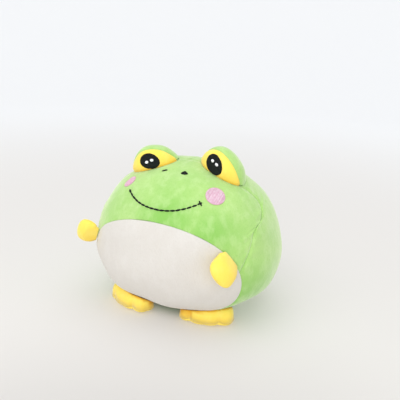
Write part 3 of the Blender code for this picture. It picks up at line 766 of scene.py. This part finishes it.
def makeStitchTree():
    # plump stitches end to end along a path, each a little different
    tree, add, given = newTree("runningStitches", {
        "Stitch Count": "Int", "Stitch Length": "Float", "Stitch Width": "Float", "Stitch Height": "Float",
        "Unevenness": "Float", "Wander": "Float", "Seed": "Int"})
    path = add("GeometryNodeMeshToCurve", {"Mesh": given["Geometry"]})["Curve"]
    path = add("GeometryNodeResampleCurve", {"Curve": path, "Count": given["Stitch Count"]})["Curve"]
    grain = add("GeometryNodeMeshUVSphere", {"Segments": 12, "Rings": 9, "Radius": 0.5})["Mesh"]
    # each stitch stands on the cover, runs along the path and swings a little to one side
    upward = add("GeometryNodeInputNamedAttribute", {"Name": "upward"}, data_type="FLOAT_VECTOR")
    turn = add("FunctionNodeAlignRotationToVector", {"Vector": upward["Attribute"]}, axis="Z")
    turn = add("FunctionNodeAlignRotationToVector", {
        "Rotation": turn["Rotation"], "Vector": add("GeometryNodeInputTangent")["Tangent"]},
        axis="X", pivot_axis="Z")
    most = add("ShaderNodeCombineXYZ", {"Z": given["Wander"]})["Vector"]
    least = add("ShaderNodeVectorMath", {0: most, "Scale": -1}, operation="SCALE")["Vector"]
    swing = add("FunctionNodeRandomValue", {
        "Min": least, "Max": most, "Seed": given["Seed"]}, data_type="FLOAT_VECTOR")
    swing = add("FunctionNodeEulerToRotation", {"Euler": swing[0]})
    turn = add("FunctionNodeRotateRotation", {
        "Rotation": turn["Rotation"], "Rotate By": swing["Rotation"]}, rotation_space="LOCAL")
    # and has its own length; inputs 2 and 3 and output 1 are the random number's
    shortest = reckon(add, "SUBTRACT", 1, given["Unevenness"])
    share = add("FunctionNodeRandomValue", {
        2: shortest, 3: 1, "Seed": given["Seed"]}, data_type="FLOAT")
    size = add("ShaderNodeCombineXYZ", {
        "X": reckon(add, "MULTIPLY", share[1], given["Stitch Length"]),
        "Y": given["Stitch Width"], "Z": given["Stitch Height"]})["Vector"]
    stitches = add("GeometryNodeInstanceOnPoints", {
        "Points": path, "Instance": grain, "Rotation": turn["Rotation"], "Scale": size})["Instances"]
    closeTree(add, given, stitches)
    return tree


threadTree = makeThreadTree()
stitchTree = makeStitchTree()


def grown(name, mesh, tree, values):
    # the tree's result on a mesh, as a plain mesh
    holder = inScene(name + "_source", mesh)
    modifier = holder.modifiers.new("stitching", "NODES")
    modifier.node_group = tree
    for socket in tree.interface.items_tree:
        if socket.item_type == "SOCKET" and socket.in_out == "INPUT" and socket.name in values:
            modifier[socket.identifier] = values[socket.name]
    bpy.context.view_layer.update()
    plain = bpy.data.meshes.new_from_object(holder.evaluated_get(bpy.context.evaluated_depsgraph_get()))
    holder.modifiers.remove(modifier)
    bpy.data.objects.remove(holder)
    return plain


def rowsMesh(name, rows, tones=None, upward=None):
    # open rows of points as edges, with a tone for each row and the way up at each point
    starts = np.cumsum([0, *map(len, rows)])
    edges = [(i, i + 1) for start, end in zip(starts, starts[1:]) for i in range(start, end - 1)]
    mesh = newMesh(name, np.concatenate(rows), edges=edges)
    tones = np.zeros(len(rows)) if tones is None else tones
    setValues(mesh, "tone", np.repeat(tones, [len(row) for row in rows]))
    if upward is not None:
        up = mesh.attributes.new("upward", "FLOAT_VECTOR", "POINT")
        up.data.foreach_set("vector", np.concatenate(upward).astype(np.float32).reshape(-1))
    return mesh


def joined(name, meshes, finish):
    mesh = bpy.data.meshes.new(name)
    workOn(mesh, *(lambda work, part=part: work.from_mesh(part) for part in meshes))
    mesh.polygons.foreach_set("material_index", np.zeros(len(mesh.polygons), np.int32))
    return asPiece(name, mesh, finish)


# Embroidery: satin rows over a low pad, laid on the cover beneath

def oval(halfWide, halfHigh, degrees=0.0, count=72):
    ring = fullTurn(count)
    return np.stack(turned(halfWide * np.cos(ring), halfHigh * np.sin(ring), degrees), -1)


def satinRows(outline, look):
    # parallel rows across an outline: each from edge to edge
    chance = np.random.RandomState(look["seed"])
    along, across = np.array(turned(1, 0, look["angle"])), np.array(turned(0, 1, look["angle"]))
    u, v = outline @ along, outline @ across
    nextU, nextV = np.roll(u, -1), np.roll(v, -1)
    rows = []
    for level in np.arange(v.min() + look["pitch"] / 2, v.max() - look["pitch"] / 4, look["pitch"]):
        hit = (v - level) * (nextV - level) < 0
        if hit.sum() < 2:
            continue
        crossings = u[hit] + (nextU[hit] - u[hit]) * (level - v[hit]) / (nextV[hit] - v[hit])
        low = crossings.min() - chance.uniform(-0.3, 1) * look["ragged"]
        high = crossings.max() + chance.uniform(-0.3, 1) * look["ragged"]
        if high - low < look["pitch"]:
            continue
        run = np.linspace(low, high, max(5, int((high - low) / 0.0006) + 2))
        rows.append(run[:, None] * along + level * across)
    return rows


def embroider(name, node, outline, place, look):
    # place(points in the patch's own plane, raised) gives points over the cover
    finish, chance = look["finish"], np.random.RandomState(look["seed"])
    hub = outline.mean(0)
    shares = np.array([0, 0.4, 0.7, 0.88, 0.97])[:, None]
    flat = hub + shares[..., None] * (outline - hub)[None]
    top = place(flat, look["pad"] * (1 - 0.8 * shares**4) + 0 * flat[..., 0])
    bottom = place(flat, 0.00002 + 0 * flat[..., 0])
    pad = closedShell(name + "_pad", top, bottom, finish, wrap=True)
    threads, tones = [], []
    for row in satinRows(outline, look):
        share = np.linspace(-1, 1, len(row))
        lift = look["pad"] * 0.9 * (1 - 0.75 * share**6) + look["radius"] * (0.35 - 0.5 * np.abs(share) ** 10)
        threads.append(place(row, lift))
        tones.append(chance.uniform(look["least"], look["tones"]))
    # rings round the edge; on the cheeks their darker tone is painted shade
    for share, tone in look["border"]:
        ring = hub + share * (outline - hub)
        ring = np.concatenate([ring, ring[:1]])
        threads.append(place(ring, look["pad"] * 0.55 + 0 * ring[:, 0]))
        tones.append(tone)
    sewn = grown(name, rowsMesh(name + "_rows", threads, tones), threadTree, {
        "Thread Radius": look["radius"], "Thread Sides": 6, "Finish": finishes[finish]})
    meshes = [pad.data, sewn]
    bpy.data.objects.remove(pad)
    dress(joined(name, meshes, finish), "body", finish, node)


def ontoSkin(skin, points, normals, raised):
    # each point dropped along its normal onto a cover, then raised off it
    flat, ways = points.reshape(-1, 3), np.broadcast_to(normals, points.shape).reshape(-1, 3)
    lifts = np.broadcast_to(raised, points.shape[:-1]).reshape(-1)
    laid = []
    for point, way, lift in zip(flat, ways, lifts):
        way = Vector(way)
        hit = skin.ray_cast(Vector(point) + 0.006 * way, -way, 0.02)[0]
        if hit is None:
            hit = skin.find_nearest(Vector(point))[0]
        laid.append(hit + float(lift) * way)
    return np.array(laid).reshape(points.shape)


def facePlace(azimuth, elevation):
    # a flat patch's plane on the face, looking outwards, and the function that lays it on the cover
    centre = onBall(azimuth, elevation)
    normal = ballNormals(centre)
    levelWay = unit(np.cross(np.array([0, 0, 1.0]), normal))
    upWay = np.cross(normal, levelWay)

    def place(flat, raised):
        points = middle + centre + flat[..., :1] * levelWay + flat[..., 1:] * upWay
        return ontoSkin(faceSkin, points, normal, raised)
    return place


def eyePlace(side, spot, degrees, lift):
    axes, skin = eyes[side]
    radius = (eye["halfDepth"] + eye["halfHeight"]) / 2

    def place(flat, raised):
        wide, high = turned(flat[..., 0], flat[..., 1], degrees)
        sweep, climb = (spot[0] + wide) / eye["halfWidth"], (spot[1] + high) / radius
        surface = eyePoint(axes, sweep, climb, 0)
        out = unit(eyePoint(axes, sweep, climb, -0.001) - surface)
        return ontoSkin(skin, surface + middle, out, raised + lift)
    return place


satin = {"finish": "black_thread", "pad": 0.0003, "radius": 0.00017, "pitch": 0.00030, "least": 0, "tones": 1.0,
         "border": ()}
cheek = {
    "angles": {"left": (45.3, 40.7), "right": (42.9, 41.0)},
    "half": {"left": (0.0052, 0.0052), "right": (0.0030, 0.0039)},
    "least": {"left": 0, "right": 0.5},
    # painted shade: the two rings round each cheek's edge take the darker pink tone
    "look": satin | {"finish": "pink_thread", "seed": 31, "radius": 0.00019, "pitch": 0.00040, "angle": 52.0,
                     "ragged": 0.00008, "tones": 0.7, "border": ((1.0, 0.9), (0.955, 0.6))}}
nostril = {
    "angles": (15.0, 60.0),
    "half": {"left": (0.0019, 0.0012), "right": (0.0017, 0.00045)},
    "turn": {"left": 0.0, "right": 38.0},
    "point": {"left": 0.0008, "right": 0.0},  # drawn up to a point
    "look": satin | {"seed": 7, "angle": 20.0, "ragged": 0.0001}}
pupil = {
    "half": {"left": (0.0065, 0.0047), "right": (0.0060, 0.0045)},
    "spot": {"left": (0.0005, 0.0138), "right": (-0.0011, 0.0146)},
    "turn": {"left": -28.5, "right": 20.9},
    "look": satin | {"seed": 11, "angle": 8.0, "ragged": 0.00012}}
highlight = {
    "half": (0.00092, 0.0007),
    "lift": 0.0005,
    "offset": {"left": {"inner": (-0.0012, 0.0009), "outer": (0.0020, 0.0005)},
               "right": {"inner": (-0.0017, -0.0002), "outer": (0.0013, -0.0008)}},
    "look": satin | {"finish": "white_thread", "seed": 13, "pad": 0.00022, "radius": 0.00015,
                     "pitch": 0.00026, "angle": 90.0, "ragged": 0.00005, "tones": 0.8}}


def makeFace():
    for side, sign in sides.items():
        azimuth, elevation = cheek["angles"][side]
        embroider(f"cheek_stitching_{side}", f"cheek_{side}", oval(*cheek["half"][side], count=96),
                  facePlace(sign * azimuth, elevation), cheek["look"] | {"least": cheek["least"][side]})
        azimuth, elevation = nostril["angles"]
        shape = oval(*nostril["half"][side], nostril["turn"][side])
        shape[:, 1] += nostril["point"][side] * bell(shape[:, 0], 0.0006) * (shape[:, 1] > 0)
        embroider(f"nostril_stitching_{side}", f"nostril_{side}", shape,
                  facePlace(sign * azimuth, elevation), nostril["look"])
        spot = np.array(pupil["spot"][side])
        embroider(f"pupil_stitching_{side}", f"eye_{side}_pupil", oval(*pupil["half"][side]),
                  eyePlace(side, spot, pupil["turn"][side], 0), pupil["look"])
        for place, offset in highlight["offset"][side].items():
            embroider(f"highlight_stitching_{side}_{place}", f"eye_{side}_highlight_{place}",
                      oval(*highlight["half"]), eyePlace(side, spot + np.array(offset), 0, highlight["lift"]),
                      highlight["look"])
    print("face embroidered")


mouth = {"halfAzimuth": 32.0, "cornerUp": 36.0, "lowUp": 30.0, "lift": 0.00012}  # degrees, metres
smile = {"Stitch Count": 17, "Stitch Length": 0.0041, "Stitch Width": 0.00105, "Stitch Height": 0.0009,
         "Unevenness": 0.32, "Wander": 0.07, "Seed": 4}
tick = {"length": {"left": 0.0032, "right": 0.0014}, "lift": 0.00014, "beyond": 0.0004,
        "look": {"Stitch Count": 2, "Stitch Width": 0.0008, "Wander": 0.0, "Unevenness": 0.1}}


def mouthPoint(share):
    up = mouth["lowUp"] + (mouth["cornerUp"] - mouth["lowUp"]) * share**2
    return onBall(mouth["halfAzimuth"] * share, up)


def stitchAlong(name, node, points, normals, lift, values):
    laid = ontoSkin(faceSkin, points + middle, normals, lift)
    source = rowsMesh(name + "_path", [laid], upward=[np.broadcast_to(normals, laid.shape)])
    sewn = grown(name, source, stitchTree, values | {"Finish": finishes["black_thread"]})
    dress(joined(name, [sewn], "black_thread"), "body", "black_thread", node)


def makeMouth():
    line = mouthPoint(np.linspace(-1, 1, 121))
    stitchAlong("smile_stitching", "mouth_line", line, ballNormals(line), mouth["lift"], smile)
    for side, sign in sides.items():
        end, length = mouthPoint(float(sign)), tick["length"][side]
        normal = ballNormals(end)
        across = unit(end - mouthPoint(0.9 * sign))
        reach = np.linspace(-0.25, 0.25, 5)[:, None] * length
        stitchAlong(f"smile_end_stitching_{side}", f"mouth_corner_{side}",
                    end + across * tick["beyond"] + reach * np.cross(across, normal), normal, tick["lift"],
                    smile | tick["look"] | {"Stitch Length": length * 0.62})
    print("smile stitched")


makeFace()
makeMouth()


# Arms: short nubs caught in the belly seam by one edge

arm = {
    "elevation": {"left": 2.8, "right": -0.7}, "length": {"left": 0.0161, "right": 0.0121},
    "flop": {"left": 62.0, "right": -23.0}, "tilt": {"left": -4.0, "right": 4.0},
    "halfWidth": 0.0085, "halfThickness": 0.0040, "fullFrom": 0.55, "plumpness": 1.45,
    "tipFrom": 0.45, "tipSquareness": 4, "tipBlunt": 2.3,
    "rootHalfWidth": 0.0074, "rootRound": 0.26, "rootReach": 0.25, "rootSlope": 0.5,
    "rootRadius": 0.0006, "rootGap": 0.0003, "fleece": 0.0009, "halfGap": 0.00004,
    # painted shade: a golden-orange share on the arm's lower side near its root, and a thin line along its seam
    "paintedLowShade": 0.42, "seamShade": (0.1, 0.0005), "rows": 34, "columns": 33,
    "padding": {"scale": 30.0, "pressure": 4.0, "stiffness": 20.0, "bending": 0.4, "shrink": 0.0,
                "frames": 18, "cap": 0.0004},
}


def armAxes(side, sign):
    above, root, below = (onBall(sign * bellyAzimuth(up)[0], up)
                          for up in arm["elevation"][side] + np.array([5, 0, -5]))
    normal = ballNormals(root)
    along = unit(below - above) * sign
    along = unit(along - np.dot(along, normal) * normal)
    along = turned(along, np.cross(along, normal), arm["tilt"][side])[0]
    outward = turned(normal, np.cross(along, normal), -arm["flop"][side])[0]
    place = middle + root + normal * (arm["rootRadius"] + arm["rootGap"])
    return place, np.stack([along, outward, np.cross(along, outward)])


def armSheet(length, toward):
    # over the front (toward 1) or back of the arm, out from its root
    even = np.linspace(0, 1, arm["rows"])
    reach = 0.6 * np.sin(even * math.pi / 2) + 0.4 * even
    reach = -arm["rootRadius"] / 2 + (length + arm["rootRadius"] / 2) * reach
    swell = np.sin(np.clip(reach / (arm["fullFrom"] * length), 0, 1) * math.pi / 2)
    tip = np.clip((reach / length - arm["tipFrom"]) / (1 - arm["tipFrom"]), 0, 1)
    width = arm["rootHalfWidth"] + (arm["halfWidth"] - arm["rootHalfWidth"]) * swell
    width = width * np.sqrt(1 - tip ** arm["tipSquareness"])
    width = width * (1 - arm["rootRound"] * (1 - np.clip(reach / (arm["rootReach"] * length), 0, 1)) ** 2)
    thickness = arm["rootRadius"] + (arm["halfThickness"] - arm["rootRadius"]) * swell ** arm["plumpness"]
    thickness = thickness * np.sqrt(1 - tip ** arm["tipBlunt"])
    turn = np.linspace(0, math.pi, arm["columns"])[None, :]
    x, z = width[:, None] * np.cos(turn), thickness[:, None] * np.sin(turn)
    z[:, [0, -1]] = 0
    return np.stack([x, reach[:, None] + 0 * x, toward * z], -1)


def clearOfSeam(grid, toward, least):
    # at least so far across the seam between two covers, on the side that toward tells
    grid[..., 2] = toward * np.maximum(toward * grid[..., 2], least)
    return grid


def makeArm(side, sign):
    place, axes = armAxes(side, sign)
    length = arm["length"][side]
    sheets = [armSheet(length, toward) for toward in (1, -1)]
    held = np.zeros(sheets[0].shape[:2], bool)
    held[:2] = True
    sheets = puffUp(f"arm_padding_{side}", sheets, [held, held], arm["padding"])
    centre = arm["rows"] // 2, arm["columns"] // 2
    for name, sheet, toward in zip(("front", "back"), sheets, (1, -1)):
        nip = arm["rootRadius"] + arm["rootSlope"] * np.maximum(sheet[..., 1], 0)
        sheet[..., 2] = np.clip(sheet[..., 2], -nip, nip)  # nipped flat by the seam that holds it
        away = np.minimum(runLengths(sheet, 1), runLengths(sheet[:, ::-1], 1)[:, ::-1])
        inner = sheet - arm["fleece"] * sheetNormals(sheet, centre, (0, 0, toward))
        # painted shade, golden-orange, on the lower side towards the root, where the arm's own fold shades it
        below = softStep(sign * sheet[..., 0] / arm["halfWidth"], -0.2, 1) * softStep(sheet[..., 1], length, 0)
        dark, wide = arm["seamShade"]
        paintedShade = dark * bell(away, wide) + arm["paintedLowShade"] * below
        faces = [place + clearOfSeam(face, toward, arm["halfGap"]) @ axes for face in (sheet.copy(), inner)]
        sewCover(f"arm_{name}_cover_{side}", f"arm_{side}", f"arm_{side}_{name}_cover", "yellow_fleece", 0.7,
                 *faces, paintedShade)
    print("arm sewn:", side)


# Feet: flat pads of three toes, sewn on under the belly by their rear edge

foot = {
    "hinge": {"left": (0.0214, -0.0142), "right": (0.0212, -0.0184)}, "yaw": {"left": 14.0, "right": 20.0},
    "halfWidth": 0.0160, "length": 0.0168, "thickness": 0.0128, "squareness": 0.8,
    "seamHeight": 0.0021, "seamRoom": 0.45, "soleFlat": 0.4, "edgeSquareness": 6,
    "toes": 3, "toeDepth": 0.0009, "toeLift": 0.0014, "toeRoundness": 1.5,
    "fleece": 0.0009, "halfGap": 0.00003, "innerGap": 0.00004,
    # painted shade in the crevice where the belly rests on the foot
    "crevice": (0.16, 0.0002, 0.0011),  # a share of the room, and its limits
    "seamShade": 0.3, "rings": 22, "columns": 120,
    "padding": {"scale": 30.0, "pressure": 3.0, "stiffness": 14.0, "bending": 0.6, "shrink": -0.02,
                "frames": 16, "cap": 0.0007},
}
footTurn = fullTurn(foot["columns"])


def bellyUnderside(ground, inset):
    start = ground.copy()
    start[..., 2] = ball["floor"]
    reached = crossing(start, np.array([0, 0, 1.0]), inset, 0, ball["lowerHeight"])
    return reached[..., 2] - ball["floor"] + heldUp(reached)


def footPlan(half, wave):
    return half * np.sign(wave) * np.abs(wave) ** foot["squareness"]


def footSheets(side, sign):
    # the top, the sole, how far out each point is and the height of the seam between them
    share = np.linspace(0, 1, foot["rings"])[:, None] ** 0.8
    share = np.tile(share, foot["columns"])
    half = foot["length"] / 2
    notch = 1 - np.abs(np.sin(foot["toes"] * footTurn))
    notch = np.clip(2 * np.sin(footTurn), 0, 1) * notch ** foot["toeRoundness"]
    outward = share ** foot["edgeSquareness"]
    kept = 1 - notch * outward * foot["toeDepth"] / half  # the toes part only at the edge
    x = share * kept * footPlan(foot["halfWidth"], np.cos(footTurn))
    y = share * kept * footPlan(half, np.sin(footTurn)) + half
    yaw = math.radians(foot["yaw"][side])
    forward = np.array([sign * math.sin(yaw), -math.cos(yaw), 0])
    hinge = np.array([sign * foot["hinge"][side][0], foot["hinge"][side][1], 0])
    ground = hinge + x[..., None] * np.cross(forward, [0, 0, 1]) + y[..., None] * forward
    room = bellyUnderside(ground, -0.0003)
    seam = np.minimum(foot["seamHeight"] + foot["toeLift"] * notch, foot["seamRoom"] * room)
    curled = np.clip((share - foot["soleFlat"]) / (1 - foot["soleFlat"]), 0, 1)
    top, sole = ground.copy(), ground
    height = seam + (foot["thickness"] - foot["seamHeight"]) * np.sqrt(np.maximum(1 - outward, 0))
    top[..., 2] = np.minimum(height, room)
    sole[..., 2] = seam * (1 - np.sqrt(1 - curled**2))
    return top, sole, share, seam


def makeFoot(side, sign):
    top, sole, share, seam = footSheets(side, sign)
    behind = share * np.sin(footTurn) < -0.45
    sheets = puffUp(f"foot_padding_{side}", [top, sole], [behind, (share < 0.5) | behind], foot["padding"],
                    wrap=True)
    for name, label, sheet, toward in zip(("top", "sole"), ("top_cover", "sole"), sheets, (1, -1)):
        room = bellyUnderside(sheet, -0.0002)
        sheet[..., 2] = np.clip(sheet[..., 2], 0, room)
        out = unit(np.cross(np.roll(sheet, -1, 1) - np.roll(sheet, 1, 1), np.gradient(sheet, axis=0)))
        out = out if np.mean(out[2, :, 2]) * toward > 0 else -out
        out[0] = (0, 0, toward)
        inner = clearOfSeam(sheet - foot["fleece"] * out, toward,
                            toward * np.minimum(seam, room * 0.5) + foot["innerGap"])
        outer = sheet.copy()
        outer[-1, :, 2] += toward * foot["halfGap"]
        portion, *limits = foot["crevice"]
        # painted shade: orange in the crevice under the belly and along the foot's outer edge
        paintedShade = np.exp(-((room - sheet[..., 2]) / np.clip(portion * room, *limits)) ** 4)
        paintedShade = paintedShade + foot["seamShade"] * softStep(share, 0.96, 1)
        faces = [face + middle * (1, 1, 0) for face in (outer, inner)]
        sewCover(f"foot_{name}_cover_{side}", f"foot_{side}", f"foot_{side}_{label}", "yellow_fleece", 0.6,
                 *faces, paintedShade if name == "top" else None, wrap=True)
    print("foot sewn:", side)


for side, sign in sides.items():
    makeArm(side, sign)
    makeFoot(side, sign)

for name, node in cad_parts.items():
    if name.endswith("_filling"):
        node.data.materials.clear()
        node.data.materials.append(finishes["filling_fibre"])
print("fillings dressed")


# Studio: a pale floor that curves up all round, soft light from above

studio = {
    "flat": (0, 0.1, 0.3, 0.6), "floorRadius": 0.95, "bend": 0.55, "rough": 0.85,
    "near": (0.515, 0.50, 0.48), "far": (0.64, 0.645, 0.65),
    "fade": (0.15, 0.95),  # metres from the frog over which the paper is painted paler, painted light standing in for the lamps' falloff
    # painted shade: the paper darker still in front of the frog, towards the camera
    "front": (0.32, 0.307, 0.293), "paintedShadePlace": (0.09, -0.23, 0.0), "paintedShadeReach": 0.24,
    "paintedGlow": 0.5,  # painted light: the paper itself gives off a little light, lifting the shadows on it
    "shade": (0.016, 0.034),  # painted shadow: the paper gives no light under the frog
    "sky": (0.95, 0.97, 1.0), "skyStrength": 0.73, "aim": (0, 0, 0.05),
    "lights": {
        "key": {"place": (-0.35, -0.75, 0.95), "size": 0.9, "power": 2.9},
        "low": {"place": (0.28, -0.98, 0.10), "size": 0.5, "power": 1.9},
        "front": {"place": (0.30, -0.75, 0.45), "size": 0.6, "power": 1.9},
        "top": {"place": (0.10, 0.15, 1.10), "size": 1.2, "power": 3.8},
    },
}


def faceUp(work):
    for face in work.faces:
        face.normal_update()
        if face.normal.z < 0:
            face.normal_flip()


def makePaper():
    paper, add, shader = newMaterial("studio_paper")
    away = distance(add, (0, 0, 0))
    # painted light: the paper darker near the frog and paler away from it
    colour = mix(add, ramp(add, away, *studio["fade"]), studio["near"], studio["far"])
    # painted shade in front of the frog
    ahead = ramp(add, distance(add, studio["paintedShadePlace"]), 0.0, studio["paintedShadeReach"])
    colour = mix(add, ahead, studio["front"], colour)
    feed(shader, {
        "Base Color": colour,
        # painted light: the paper gives off light of its own colour
        "Emission Color": mix(add, ramp(add, away, *studio["shade"]), (0, 0, 0), colour),
        # painted shadow: none of that light under the frog
        "Emission Strength": studio["paintedGlow"],
        "Roughness": studio["rough"]})
    return paper


def makeStudio():
    turn = fullTurn(96)
    curve = np.linspace(0, math.pi / 2 * 0.8, 14)
    radii = np.concatenate([studio["flat"], studio["floorRadius"] + studio["bend"] * np.sin(curve)])[:, None]
    heights = np.pad(studio["bend"] * (1 - np.cos(curve)), (len(studio["flat"]), 0))[:, None]
    grid = np.stack([radii * np.cos(turn), radii * np.sin(turn), heights + 0 * turn], -1)
    mesh = newMesh("studio_floor", grid.reshape(-1, 3), quadsOf(gridIndex(*grid.shape[:2], wrap=True)).tolist())
    workOn(mesh, lambda work: weld(work, 1e-6), faceUp)
    mesh.shade_smooth()
    mesh.materials.append(makePaper())
    inScene("studio_floor", mesh)
    world = bpy.data.worlds.new("studio_sky")
    world.use_nodes = True
    feed(world.node_tree.nodes["Background"], {"Color": studio["sky"], "Strength": studio["skyStrength"]})
    bpy.context.scene.world = world
    for name, light in studio["lights"].items():
        data = bpy.data.lights.new(name, "AREA")
        data.shape, data.size, data.energy = "DISK", light["size"], light["power"]
        lamp = inScene(name, data)
        lamp.location = light["place"]
        aim = Vector(studio["aim"]) - Vector(light["place"])
        lamp.rotation_euler = aim.to_track_quat("-Z", "Y").to_euler()


makeStudio()
print("studio lit")
